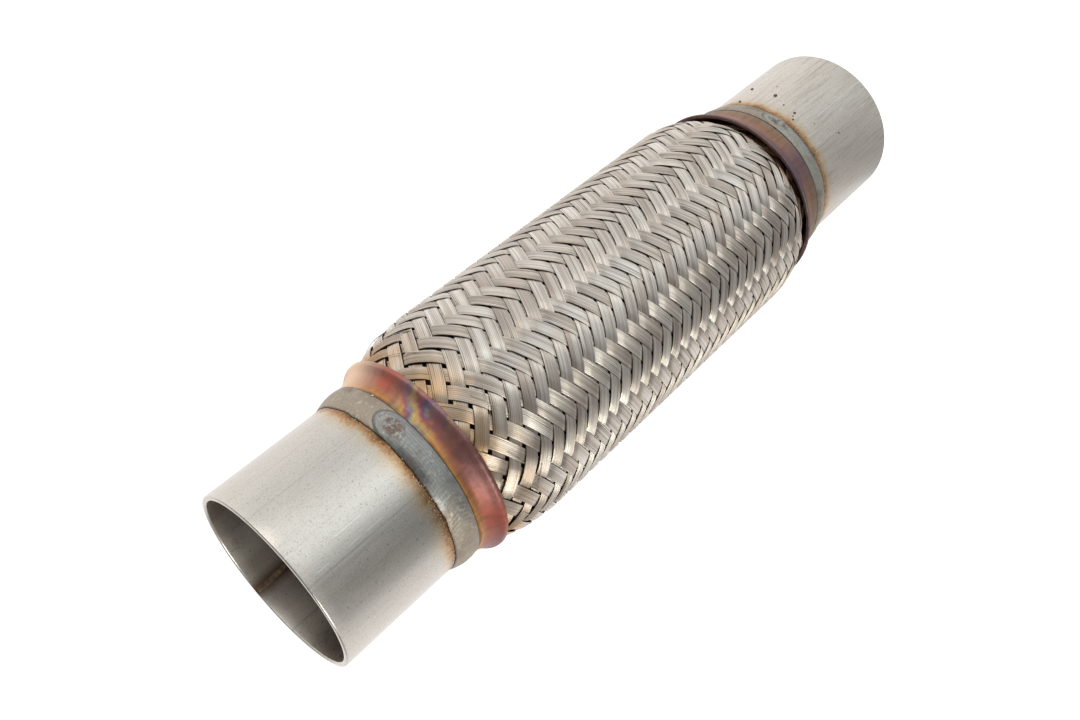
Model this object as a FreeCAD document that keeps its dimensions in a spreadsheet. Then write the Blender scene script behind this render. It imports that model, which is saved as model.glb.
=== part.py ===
import FreeCAD, Part
import math
import os
import Sketcher

# Exhaust flex pipe: two plain nipples are butt welded to the end caps of a flexible middle.
# The middle is a corrugated bellows under a braided sleeve, with a thin liner in its bore.
# Lengths are millimetres. The pipe stands on its rear nipple, +Z runs up its axis to the
# front nipple, and the origin is the centre of the rear nipple's end face.
# Counts that belong to the pattern of the braid, such as stripe_pairs, are whole numbers.

SIZES = {
    # Nipples: cut tube, and the length that stays free of weld at each end.
    "nipple_bore_radius": 25.5,
    "nipple_wall": 1.5,
    "rear_reach": 40.0,
    "front_reach": 36.0,
    # Weld beads: width from the toe on the nipple to the heel on the cap, the bevels that
    # the weld fills in the ends of the cap and the nipple, and how proud the crown stands.
    "rear_weld_width": 6.3,
    "front_weld_width": 7.6,
    "weld_bevel_length": 2.6,
    "weld_land": 0.4,
    "weld_root_depth": 1.1,
    "weld_crown": 0.55,
    "weld_ripple": 0.08,
    "weld_ripples": 30,
    # Each run of weld starts and stops in a broader lens: its height and its place round
    # the pipe, and half its length, in degrees.
    "weld_lens": 0.35,
    "weld_lens_place": -70.0,
    "weld_lens_reach": 18.0,
    # End caps: pressed collars with a straight neck and a flare that ends in a steep lip.
    "cap_wall": 1.2,
    "rear_neck_length": 4.5,
    "front_neck_length": 2.0,
    "rear_flare_length": 6.2,
    "front_flare_length": 5.6,
    "rear_rim_radius": 31.6,
    "front_rim_radius": 31.2,
    "lip_length": 1.8,
    # Braid: free length between the two rims, its barrel, and its shoulders to the rims.
    "braid_length": 141.8,
    "barrel_radius": 34.0,
    "braid_thickness": 0.9,
    "rear_shoulder_length": 18.0,
    "front_shoulder_length": 21.4,
    "rear_shoulder_power": 2.9,
    "front_shoulder_power": 1.85,
    "rear_rim_gap": 0.6,
    "front_rim_gap": 0.05,
    "pressed_braid": 0.8,
    # Weave: a herringbone of two columns each way per stripe pair, the rise from one
    # crossing row to the next on the barrel, and the relief of one band over the next.
    "stripe_pairs": 12,
    "row_rise": 2.3,
    "weave_relief": 0.5,
    "band_edge": 0.35,
    "gap_reach": 0.6,
    "rear_gap_rows": 2,
    "front_gap_rows": 3,
    # Bellows: thin corrugated tube, with smooth cuffs at both ends.
    "convolutions": 14,
    "bellows_sides": 24,
    "bellows_wall": 0.4,
    "bellows_gap": 0.6,
    "bellows_depth": 4.6,
    "bellows_margin": 6.0,
    # Liner: smooth sleeve that keeps the gas off the bellows.
    "liner_wall": 0.5,
    "liner_gap": 0.05,
}

document = FreeCAD.newDocument("exhaust_flex_pipe")

sheet = document.addObject("Spreadsheet::Sheet", "Sizes")
for row, (alias, value) in enumerate(SIZES.items(), start=1):
    sheet.set("A%d" % row, alias)
    sheet.set("B%d" % row, str(value))
    sheet.setAlias("B%d" % row, alias)
document.recompute()


def measure(expression):
    """The value of an expression over the sheet's cells."""
    return float(sheet.evalExpression(expression))


SIZE = {alias: measure("Sizes." + alias) for alias in SIZES}
# Columns where bands cross, round the braid, and the length of band between two crossings.
COLUMNS = 4 * int(SIZE["stripe_pairs"])
COLUMN_ANGLE = 2 * math.pi / COLUMNS
CROSSING = math.hypot(SIZE["barrel_radius"] * COLUMN_ANGLE, SIZE["row_rise"])


def end_sizes(side):
    """Expressions for one end, with heights counted from that end's mouth inwards."""
    toe = "Sizes.%s_reach" % side
    heel = "%s + Sizes.%s_weld_width" % (toe, side)
    flare = "%s + Sizes.%s_neck_length" % (heel, side)
    return {
        "toe": toe,
        "heel": heel,
        "joint": "%s - Sizes.weld_bevel_length" % heel,
        "flare": flare,
        "rim": "%s + Sizes.%s_flare_length" % (flare, side),
        "rim_radius": "Sizes.%s_rim_radius" % side,
    }


ENDS = {"rear": end_sizes("rear"), "front": end_sizes("front")}
OVERALL = "%s + Sizes.braid_length + %s" % (ENDS["rear"]["rim"], ENDS["front"]["rim"])
BORE = "Sizes.nipple_bore_radius"
TUBE = "Sizes.nipple_bore_radius + Sizes.nipple_wall"
NECK = TUBE + " + Sizes.cap_wall"


def turned_body(name, corners):
    """A ring turned about the axis from a closed profile of (radius, height) corners."""
    body = document.addObject("PartDesign::Body", name)
    sketch = body.newObject("Sketcher::SketchObject", name + "_profile")
    planes = [item for item in body.Origin.OriginFeatures if item.Role == "XZ_Plane"]
    sketch.AttachmentSupport = [(planes[0], "")]
    sketch.MapMode = "FlatFace"
    places = [FreeCAD.Vector(measure(radius), measure(height), 0) for radius, height in corners]
    for side, start in enumerate(places):
        end = places[(side + 1) % len(places)]
        sketch.addGeometry(Part.LineSegment(start, end))
    for side in range(len(places)):
        sketch.addConstraint(Sketcher.Constraint("Coincident", side, 2, (side + 1) % len(places), 1))
    for side, (radius, height) in enumerate(corners):
        place = places[side]
        mark = sketch.addConstraint(Sketcher.Constraint("DistanceX", -1, 1, side, 1, place.x))
        sketch.setExpression("Constraints[%d]" % mark, radius)
        mark = sketch.addConstraint(Sketcher.Constraint("DistanceY", -1, 1, side, 1, place.y))
        sketch.setExpression("Constraints[%d]" % mark, height)
    turning = body.newObject("PartDesign::Revolution", name + "_turning")
    turning.Profile = sketch
    turning.ReferenceAxis = (sketch, ["V_Axis"])
    turning.Angle = 360
    sketch.Visibility = False
    return body


def nipple_corners(end):
    root = TUBE + " - Sizes.weld_root_depth"
    return [(BORE, "0"), (TUBE, "0"), (TUBE, end["toe"]), (root, end["joint"]), (BORE, end["joint"])]


def cap_corners(end):
    lip_height = end["rim"] + " - Sizes.lip_length"
    inside = end["rim_radius"] + " - Sizes.cap_wall"
    return [
        (TUBE + " + Sizes.weld_land", end["joint"]),
        (NECK, end["heel"]),
        (NECK, end["flare"]),
        (end["rim_radius"], lip_height),
        (end["rim_radius"], end["rim"]),
        (inside, end["rim"]),
        (inside, lip_height),
        (TUBE, end["flare"]),
        (TUBE, end["joint"]),
    ]


def turn_over(body):
    """Stand a piece of the front end, drawn from its mouth inwards, at the top of the pipe."""
    upside_down = FreeCAD.Rotation(FreeCAD.Vector(1, 0, 0), 180)
    body.Placement = FreeCAD.Placement(FreeCAD.Vector(0, 0, measure(OVERALL)), upside_down)
    body.setExpression("Placement.Base.z", OVERALL)


def braid_crest(height):
    """Radius of the braid's outside at a height of the pipe: shoulders that fall to the rims."""
    rear_rim = measure(ENDS["rear"]["rim"])
    front_rim = measure(OVERALL) - measure(ENDS["front"]["rim"])
    radius = SIZE["barrel_radius"]
    for side, along in (("rear", height - rear_rim), ("front", front_rim - height)):
        length = SIZE[side + "_shoulder_length"]
        if along < length:
            edge = SIZE[side + "_rim_radius"] - SIZE["cap_wall"] - SIZE[side + "_rim_gap"]
            fall = (1 - max(along, 0) / length) ** SIZE[side + "_shoulder_power"]
            radius -= (SIZE["barrel_radius"] - edge) * fall
    return radius


def crossing_rows():
    """Heights of the rows where bands cross, from rim to rim.

    A band is as long from one crossing to the next all over the braid, so where the braid
    is narrow its bands stand steeper and the rows lie further apart.
    """
    low = measure(ENDS["rear"]["rim"])
    high = measure(OVERALL) - measure(ENDS["front"]["rim"])
    rows = [low]
    while rows[-1] < high:
        across = braid_crest(rows[-1]) * COLUMN_ANGLE
        rows.append(rows[-1] + math.sqrt(CROSSING ** 2 - across ** 2))
    if len(rows) % 2 == 0:
        rows.pop()
    stretch = (high - low) / (rows[-1] - low)
    return [low + (row - low) * stretch for row in rows]


class FlatSided:
    """A wall of flat sides about the axis: numbered points and the triangles between them.

    Columns are counted round the axis from half a column of the braid past +X.
    """

    def __init__(self, columns):
        self.columns = columns
        self.points = []
        self.numbers = {}
        self.triangles = []

    def angle(self, column):
        return 2 * math.pi * column / self.columns + COLUMN_ANGLE / 2

    def point(self, key, radius, column, height):
        if key not in self.numbers:
            angle = self.angle(column)
            place = FreeCAD.Vector(radius * math.cos(angle), radius * math.sin(angle), height)
            self.numbers[key] = len(self.points)
            self.points.append(place)
        return self.numbers[key]

    def ring(self, name, radius, height, stride=1):
        """A ring of points over every column, or every second one."""
        columns = range(0, self.columns, stride)
        return [self.point((name, column), radius, column, height) for column in columns]

    def band(self, low, high):
        """Flat sides between two rings, facing away from the axis when high is above low."""
        for place in range(len(low)):
            follow = (place + 1) % len(low)
            self.triangles.append((low[place], low[follow], high[follow]))
            self.triangles.append((low[place], high[follow], high[place]))

    def bands(self, rings):
        """Bands through a list of rings, and back from the last to the first."""
        for place, ring in enumerate(rings):
            self.band(rings[place - 1], ring)

    def solid(self):
        corners = [(place.x, place.y, place.z) for place in self.points]
        skin = Part.Shape()
        skin.makeShapeFromMesh((corners, self.triangles), 0.0001)
        return Part.makeSolid(Part.makeShell(skin.Faces))


class Weave(FlatSided):
    """The braid's wall.

    A knot is a place (column, row) where four crossings meet; column + row is even there.
    """

    def __init__(self):
        super().__init__(COLUMNS)
        self.rows = crossing_rows()
        self.gaps = set()
        last = len(self.rows) - 1
        gap_rows = [2 + 2 * row for row in range(int(SIZE["rear_gap_rows"]))]
        gap_rows += [last - 2 - 2 * row for row in range(int(SIZE["front_gap_rows"]))]
        for row in gap_rows:
            self.gaps.update((column, row) for column in range(0, COLUMNS, 2))

    def between(self, skin, knot, other, share):
        """A point on the way from one knot to its neighbour, on the outer or inner skin."""
        column = knot[0] + (other[0] - knot[0]) * share
        height = self.rows[knot[1]] + (self.rows[other[1]] - self.rows[knot[1]]) * share
        sink = SIZE["weave_relief"] if skin == "outer" else SIZE["braid_thickness"]
        if share == 0:
            key = (skin, knot[0] % COLUMNS, knot[1])
        else:
            key = (skin, knot[0] % COLUMNS, knot[1], other[0] - knot[0], other[1] - knot[1])
        return self.point(key, braid_crest(height) - sink, column, height)

    def corner(self, skin, knot, other):
        """A knot as a tile's side to another knot meets it, set back at an open gap."""
        if (knot[0] % COLUMNS, knot[1]) not in self.gaps:
            return self.between(skin, knot, other, 0)
        inside = (1, -1) if knot[0] % 4 == 0 else (1, 1)
        if (other[0] - knot[0], other[1] - knot[1]) == inside:
            return self.between(skin, knot, other, 0)
        return self.between(skin, knot, other, SIZE["gap_reach"] / CROSSING)

    def outline(self, skin, knots):
        """The points round a tile, as a list for each of its knots."""
        result = []
        for place, knot in enumerate(knots):
            before = self.corner(skin, knot, knots[place - 1])
            after = self.corner(skin, knot, knots[(place + 1) % len(knots)])
            result.append([before] if before == after else [before, after])
        return result

    def fan(self, centre, chain):
        for first, second in zip(chain, chain[1:]):
            if centre not in (first, second):
                self.triangles.append((centre, first, second))

    def float_tile(self, knots):
        """A band where it lies over two others: crowned halfway, and low at both ends."""
        low, high = knots[1], knots[4]
        crest = []
        for knot, other in ((low, high), (high, low)):
            share = SIZE["band_edge"] / CROSSING
            column = knot[0] + (other[0] - knot[0]) * share
            height = self.rows[knot[1]] + (self.rows[other[1]] - self.rows[knot[1]]) * share
            key = ("crest", knot[0] % COLUMNS, knot[1])
            crest.append(self.point(key, braid_crest(height), column, height))
        ring = self.outline("outer", knots)
        lower = ring[0] + ring[1] + ring[2] + ring[3][:1]
        upper = ring[3] + ring[4] + ring[5] + ring[0][:1]
        self.fan(crest[0], lower)
        self.fan(crest[1], upper)
        self.triangles.append((crest[0], lower[-1], crest[1]))
        self.triangles.append((crest[1], lower[0], crest[0]))

    def plain_tile(self, skin, knots):
        """One crossing as a flat tile, spread from a knot that never opens into a gap."""
        solid = [place for place, knot in enumerate(knots) if knot[0] % 2]
        turned = knots[solid[0]:] + knots[:solid[0]]
        ring = [number for corner in self.outline(skin, turned) for number in corner]
        if skin == "inner":
            ring.reverse()
            ring = ring[-1:] + ring[:-1]
        self.fan(ring[0], ring[1:])

    def gap_walls(self, knot):
        """The three walls of an open gap, through from the outer to the inner skin."""
        turns = [(1, 1), (-1, 1), (-1, -1)] if knot[0] % 4 == 0 else [(-1, 1), (-1, -1), (1, -1)]
        others = [(knot[0] + across, knot[1] + up) for across, up in turns]
        outer = [self.corner("outer", knot, other) for other in others]
        inner = [self.corner("inner", knot, other) for other in others]
        for first, second in ((0, 1), (1, 2)):
            self.triangles.append((outer[first], outer[second], inner[second]))
            self.triangles.append((outer[first], inner[second], inner[first]))
        knot_inside = self.between("inner", knot, knot, 0)
        self.triangles.append((outer[2], outer[0], inner[0]))
        self.triangles.append((outer[2], inner[0], knot_inside))
        self.triangles.append((outer[2], knot_inside, inner[2]))

    def knot_ring(self, skin, row):
        return [self.between(skin, (column, row), (column, row), 0) for column in range(0, COLUMNS, 2)]

    def teeth(self, skin, row, towards):
        """Triangles that level the zigzag edge of the tiles to a ring at one row."""
        for column in range(0, COLUMNS, 2):
            first = self.between(skin, (column, row), (column, row), 0)
            second = self.between(skin, (column + 2, row), (column + 2, row), 0)
            tip = self.between(skin, (column + 1, row + towards), (column + 1, row + towards), 0)
            turned = (first, second, tip) if towards > 0 else (second, first, tip)
            self.triangles.append(turned if skin == "outer" else turned[::-1])


def tile_knots(column, row):
    """The knots round one crossing: bottom, right, top and left."""
    return [(column, row - 1), (column + 1, row), (column, row + 1), (column - 1, row)]


def braided_sleeve():
    """The outer braid as one wall: floats and gaps outside, a plain bore, pressed ends."""
    weave = Weave()
    rows = weave.rows
    last = len(rows) - 1
    # Outer skin: each float covers two crossings, and right and left columns take turns.
    for column in range(0, COLUMNS, 4):
        for row in range(1, last, 2):
            if row + 1 < last:
                knots = [(column, row - 1), (column + 1, row), (column + 2, row + 1)]
                knots += [(column + 1, row + 2), (column, row + 1), (column - 1, row)]
                weave.float_tile(knots)
            else:
                weave.plain_tile("outer", tile_knots(column, row))
            if row > 1:
                knots = [(column + 1, row), (column + 2, row - 1), (column + 3, row - 2)]
                knots += [(column + 4, row - 1), (column + 3, row), (column + 2, row + 1)]
                weave.float_tile(knots)
            else:
                weave.plain_tile("outer", tile_knots(column + 2, row))
    weave.teeth("outer", 0, 1)
    weave.teeth("outer", last, -1)
    # Inner skin: tiles where the gaps open through, plain sides along the barrel.
    rear_barrel = rows[0] + SIZE["rear_shoulder_length"]
    front_barrel = rows[-1] - SIZE["front_shoulder_length"]
    rear_top = next(row for row in range(0, last, 2) if rows[row] > rear_barrel)
    front_top = next(row for row in range(last, 0, -2) if rows[row] < front_barrel)
    for low, high in ((0, rear_top), (front_top, last)):
        for row in range(low + 1, high):
            for column in range((row + 1) % 2, COLUMNS, 2):
                weave.plain_tile("inner", tile_knots(column, row))
        weave.teeth("inner", low, 1)
        weave.teeth("inner", high, -1)
    weave.band(weave.knot_ring("inner", front_top), weave.knot_ring("inner", rear_top))
    for knot in sorted(weave.gaps):
        weave.gap_walls(knot)
    # Pressed ends: the sleeve closes in under each flare and runs straight in the neck.
    tube = measure(TUBE)
    pressed = tube - SIZE["pressed_braid"]
    rings = {}
    for side in ("rear", "front"):
        for place in ("flare", "joint"):
            height = measure(ENDS[side][place])
            if side == "front":
                height = measure(OVERALL) - height
            rings[side, place, "outer"] = weave.ring((side, place, "outer"), tube, height, 2)
            rings[side, place, "inner"] = weave.ring((side, place, "inner"), pressed, height, 2)
    for side, row in (("rear", 0), ("front", last)):
        chain = [weave.knot_ring("outer", row), rings[side, "flare", "outer"]]
        chain += [rings[side, "joint", "outer"], rings[side, "joint", "inner"]]
        chain += [rings[side, "flare", "inner"], weave.knot_ring("inner", row)]
        if side == "front":
            chain.reverse()
        for high, low in zip(chain, chain[1:]):
            weave.band(low, high)
    return weave.solid()


def corrugated_tube():
    """The bellows: sharp convolutions whose crests follow the braid that lies over them."""
    rear_joint = measure(ENDS["rear"]["joint"])
    front_joint = measure(OVERALL) - measure(ENDS["front"]["joint"])
    start = measure(ENDS["rear"]["rim"]) + SIZE["bellows_margin"]
    end = measure(OVERALL) - measure(ENDS["front"]["rim"]) - SIZE["bellows_margin"]
    cuff = measure(TUBE) - SIZE["pressed_braid"]
    count = int(SIZE["convolutions"])
    pitch = (end - start) / count
    root = SIZE["barrel_radius"] - SIZE["braid_thickness"] - SIZE["bellows_gap"] - SIZE["bellows_depth"]
    outline = [(cuff, rear_joint), (cuff, start)]
    for place in range(count):
        crest_height = start + (place + 0.5) * pitch
        clear = SIZE["braid_thickness"] + SIZE["bellows_gap"]
        outline.append((braid_crest(crest_height) - clear, crest_height))
        if place < count - 1:
            outline.append((root, start + (place + 1) * pitch))
    outline += [(cuff, end), (cuff, front_joint)]
    tube = FlatSided(int(SIZE["bellows_sides"]))
    outer = [tube.ring(("outer", place), *spot) for place, spot in enumerate(outline)]
    inner = [
        tube.ring(("inner", place), radius - SIZE["bellows_wall"], height)
        for place, (radius, height) in enumerate(outline)
    ]
    tube.bands(outer + inner[::-1])
    return tube.solid()


def weld_bead(side):
    """A rippled ring that fills the bevels between nipple and cap.

    Its underside is drawn just clear of the round surfaces that it lies on.
    """
    end = ENDS[side]
    toe = measure(end["toe"])
    joint = measure(end["joint"])
    heel = measure(end["heel"])
    tube = measure(TUBE)
    neck = measure(NECK)
    columns = 2 * int(SIZE["weld_ripples"])
    around = 1 / math.cos(math.pi / columns)
    bead = FlatSided(columns)
    rings = [[] for station in range(7)]
    # The front bead is turned over about X after it is drawn, so its lens is drawn mirrored.
    lens_place = SIZE["weld_lens_place"] if side == "rear" else -SIZE["weld_lens_place"]
    for column in range(columns):
        away = abs((math.degrees(bead.angle(column)) - lens_place + 180) % 360 - 180)
        lens = max(0, 1 - (away / SIZE["weld_lens_reach"]) ** 2)
        crown = SIZE["weld_crown"] + SIZE["weld_lens"] * lens + SIZE["weld_ripple"] * (column % 2)
        spots = [(tube * around, toe)]
        for share in (0.25, 0.5, 0.75):
            proud = crown * 4 * share * (1 - share)
            spots.append((tube + (neck - tube) * share + proud, toe + (heel - toe) * share))
        spots.append((neck * around, heel))
        spots.append(((tube + SIZE["weld_land"]) * around, joint))
        spots.append(((tube - SIZE["weld_root_depth"]) * around, joint))
        for station, (radius, height) in enumerate(spots):
            rings[station].append(bead.point((station, column), radius, column, height))
    bead.bands(rings)
    return bead.solid()


def liner_corners():
    """The liner, a loose fit in the flat-sided cuffs of the bellows, from joint to joint."""
    cuff = TUBE + " - Sizes.pressed_braid - Sizes.bellows_wall"
    outside = "(%s) * cos(180 deg / Sizes.bellows_sides) - Sizes.liner_gap" % cuff
    bore = outside + " - Sizes.liner_wall"
    front = OVERALL + " - (" + ENDS["front"]["joint"] + ")"
    rear = ENDS["rear"]["joint"]
    return [(bore, rear), (outside, rear), (outside, front), (bore, front)]


def shaped_piece(name, shape):
    piece = document.addObject("Part::Feature", name)
    piece.Shape = shape
    return piece


parts = []
for side, end in ENDS.items():
    nipple = turned_body(side + "_nipple", nipple_corners(end))
    bead = shaped_piece(side + "_weld_bead", weld_bead(side))
    cap = turned_body(side + "_end_cap", cap_corners(end))
    for piece in (nipple, bead, cap):
        if side == "front":
            turn_over(piece)
        parts.append(piece)
parts.append(shaped_piece("outer_braid", braided_sleeve()))
parts.append(shaped_piece("bellows", corrugated_tube()))
parts.append(turned_body("inner_liner", liner_corners()))

document.recompute()
for item in document.Objects:
    if "Invalid" in item.State or "Error" in item.State:
        raise RuntimeError("%s did not compute" % item.Label)
for piece in parts:
    shape = piece.Shape
    if shape.isNull() or not shape.isValid() or len(shape.Solids) != 1 or shape.Volume <= 0:
        raise RuntimeError("%s is not one sound solid" % piece.Label)

os.makedirs("parts", exist_ok=True)
for piece in parts:
    piece.Shape.exportStep("parts/%s.step" % piece.Label)
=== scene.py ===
import math
import random

import bmesh
import bpy
from mathutils import Matrix, Vector


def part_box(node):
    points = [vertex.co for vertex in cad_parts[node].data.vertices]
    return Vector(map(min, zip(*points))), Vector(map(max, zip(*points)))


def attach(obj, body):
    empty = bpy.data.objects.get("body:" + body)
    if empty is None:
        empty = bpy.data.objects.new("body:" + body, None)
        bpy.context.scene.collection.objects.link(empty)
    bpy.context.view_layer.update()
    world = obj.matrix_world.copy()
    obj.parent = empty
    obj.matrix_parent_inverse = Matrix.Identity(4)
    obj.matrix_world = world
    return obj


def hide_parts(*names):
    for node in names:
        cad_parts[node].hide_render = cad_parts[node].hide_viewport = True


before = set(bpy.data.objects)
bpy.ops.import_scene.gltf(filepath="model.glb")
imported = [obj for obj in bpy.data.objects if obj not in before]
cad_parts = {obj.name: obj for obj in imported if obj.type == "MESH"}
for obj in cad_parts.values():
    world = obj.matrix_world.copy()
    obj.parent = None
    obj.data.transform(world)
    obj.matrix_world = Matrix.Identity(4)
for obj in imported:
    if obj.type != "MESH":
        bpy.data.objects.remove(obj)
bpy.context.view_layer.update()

# Exhaust flex pipe, dressed for the camera. Lengths are metres, and the pipe stands on its
# rear nipple with +Z up its axis. An azimuth is counted from +X towards +Y. A turn is counted
# from the -Y side, which faces the camera, towards the -X side.
MM = 0.001
TAU = 2 * math.pi


def node_box(node):
    """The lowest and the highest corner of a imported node."""
    low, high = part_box(node)
    return Vector(low), Vector(high)


TOP = node_box("front_nipple")[1].z
TUBE_RADIUS = node_box("rear_nipple")[1].x
TUBE_WALL = 1.5 * MM
BORE_RADIUS = TUBE_RADIUS - TUBE_WALL
CAP_WALL = 1.2 * MM
NECK_RADIUS = TUBE_RADIUS + CAP_WALL
NECK_LENGTH = {"rear": 4.5 * MM, "front": 2.0 * MM}
# The weld fills the bevel of a cap's end down to a land of this height.
WELD_LAND = 0.4 * MM


def stand(side, height):
    """A height counted from one end's mouth, as a height of the standing pipe, or back."""
    return height if side == "rear" else TOP - height


def end_heights(side):
    """Where the weld and the cap of one end lie, counted from that end's mouth inwards."""
    bead, cap = node_box(side + "_weld_bead"), node_box(side + "_end_cap")
    outer, inner = (0, 1) if side == "rear" else (1, 0)
    return {
        "toe": stand(side, bead[outer].z), "heel": stand(side, bead[inner].z),
        "joint": stand(side, cap[outer].z), "rim": stand(side, cap[inner].z),
        "rim_radius": cap[1].x,
    }


ENDS = {"rear": end_heights("rear"), "front": end_heights("front")}
FLARE_START = {side: ENDS[side]["heel"] + NECK_LENGTH[side] for side in ENDS}

# Azimuth of the weld line inside each rolled tube and half width of its stain, in degrees.
SEAM_AZIMUTH = {"front": 87.0, "rear": 204.0}
SEAM_STAIN = 9
# A run of weld starts and ends in a broad lens: the turn of the middle of its blunt start and
# half its length, in degrees, and its height.
LENS_TURN = {"front": -19.0, "rear": -16.0}
LENS_REACH = 15.0
LENS_HEIGHT = {"front": 0.38 * MM, "rear": 0.26 * MM}

# Meshes

# A rounded corner takes at most this share of the sides beside it.
ROUND_SHARE = 0.45


def new_object(name, data):
    item = bpy.data.objects.new(name, data)
    bpy.context.scene.collection.objects.link(item)
    return item


def mesh_object(name, points, faces):
    mesh = bpy.data.meshes.new(name)
    mesh.from_pydata(points, [], faces)
    mesh.validate()
    mesh.polygons.foreach_set("use_smooth", [True] * len(mesh.polygons))
    mesh.update()
    return new_object(name, mesh)


def closed_object(name, points, faces, material):
    """A closed mesh of one material, with every face turned away from its inside."""
    item = mesh_object(name, points, faces)
    work = bmesh.new()
    work.from_mesh(item.data)
    bmesh.ops.recalc_face_normals(work, faces=work.faces)
    work.to_mesh(item.data)
    work.free()
    item.data.materials.append(material)
    return item


def grid_faces(rows, columns, row_loop, column_loop):
    """Quads over a grid of points that are numbered row by row."""
    faces = []
    for row in range(rows if row_loop else rows - 1):
        for column in range(columns if column_loop else columns - 1):
            right = (column + 1) % columns
            above = (row + 1) % rows
            faces.append((row * columns + column, row * columns + right,
                          above * columns + right, above * columns + column))
    return faces


def rod_faces(start, rings, sides):
    """Faces of a rod whose rings of points are numbered from start, closed at both ends."""
    grid = grid_faces(rings, sides, False, True)
    faces = [tuple(start + corner for corner in face) for face in grid]
    end = start + rings * sides
    faces.append(tuple(range(start, start + sides)))
    faces.append(tuple(range(end - 1, end - 1 - sides, -1)))
    return faces


def polar(radius, angle, height):
    return (radius * math.cos(angle), radius * math.sin(angle), height)


def wrap_angle(angle):
    return (angle + math.pi) % TAU - math.pi


def round_corners(corners, steps):
    """A closed outline of (radius, height, round) corners with each corner rounded off."""
    outline = []
    count = len(corners)
    for place, (radius, height, rounding) in enumerate(corners):
        here = Vector((radius, height))
        before = Vector(corners[place - 1][:2]) - here
        after = Vector(corners[(place + 1) % count][:2]) - here
        if rounding == 0:
            outline.append(here)
            continue
        reach = min(rounding, before.length * ROUND_SHARE, after.length * ROUND_SHARE)
        start = here + before.normalized() * reach
        end = here + after.normalized() * reach
        for step in range(steps + 1):
            share = step / steps
            outline.append(start.lerp(here, share).lerp(here.lerp(end, share), share))
    return outline


def dense(outline, longest):
    """The same closed outline with its long sides divided."""
    result = []
    for place, here in enumerate(outline):
        follow = outline[(place + 1) % len(outline)]
        pieces = max(1, math.ceil((follow - here).length / longest))
        result += [here.lerp(follow, step / pieces) for step in range(pieces)]
    return result


def turned(name, side, outline, segments, shift, material):
    """A closed ring turned from an outline; shift says how far a point moves out and along."""
    points = []
    for step in range(segments):
        angle = TAU * step / segments
        for radius, height in outline:
            out, along = shift(height, angle)
            points.append(polar(radius + out, angle, stand(side, height + along)))
    faces = grid_faces(segments, len(outline), True, True)
    return closed_object(name, points, faces, material)


def random_waves(rng, orders, least, most):
    """Waves round the pipe, as order, height from least to most in mm, and phase."""
    return [(order, rng.uniform(least, most) * MM, rng.uniform(0, TAU)) for order in orders]


def wave_height(waves, angle):
    return sum(size * math.sin(order * angle + phase) for order, size, phase in waves)


# Materials

class Nodes:
    """Short calls that add nodes to a tree. A value is a number, a colour or a socket."""

    def __init__(self, tree):
        self.tree = tree

    def add(self, kind, inputs=None, **settings):
        node = self.tree.nodes.new("ShaderNode" + kind)
        for key, value in settings.items():
            setattr(node, key, value)
        for key, value in (inputs or {}).items():
            self.feed(node.inputs[key], value)
        return node

    def feed(self, socket, value):
        if isinstance(value, bpy.types.NodeSocket):
            self.tree.links.new(value, socket)
        else:
            socket.default_value = value

    def calc(self, kind, *values):
        node = self.add("Math", dict(enumerate(values)), operation=kind)
        return node.outputs[0]

    def plus(self, first, second):
        return self.calc("ADD", first, second)

    def times(self, product, *factors):
        for factor in factors:
            product = self.calc("MULTIPLY", product, factor)
        return product

    def scaled(self, value, factor, offset):
        return self.calc("MULTIPLY_ADD", value, factor, offset)

    def ramp(self, value, low, high, start=0.0, end=1.0):
        """value from low to high, as a smooth step from start to end."""
        node = self.add("MapRange", {
            "Value": value, "From Min": low, "From Max": high, "To Min": start, "To Max": end,
        }, interpolation_type="SMOOTHSTEP")
        return node.outputs[0]

    def mix(self, share, first, second):
        """The first colour where share is 0 and the second where it is 1."""
        node = self.add("Mix", {0: share, 6: first, 7: second}, data_type="RGBA")
        return node.outputs[2]

    def colours(self, value, stops):
        node = self.add("ValToRGB", {0: value})
        elements = node.color_ramp.elements
        while len(elements) < len(stops):
            elements.new(0.5)
        for element, (place, colour) in zip(elements, stops):
            element.position = place
            element.color = colour
        return node.outputs[0]

    def turn_of(self, across, deep):
        """Turn in radians of a place or a direction."""
        return self.calc("ARCTAN2", self.times(across, -1.0), self.times(deep, -1.0))


class Material(Nodes):
    """A material of one shader and the nodes that feed it."""

    def __init__(self, name, kind, inputs):
        self.material = bpy.data.materials.new(name)
        self.material.use_nodes = True
        super().__init__(self.material.node_tree)
        self.tree.nodes.clear()
        self.shader = self.add(kind, inputs)
        self.add("OutputMaterial", {0: self.shader.outputs[0]})

    def set(self, socket, value):
        self.feed(self.shader.inputs[socket], value)


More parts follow.
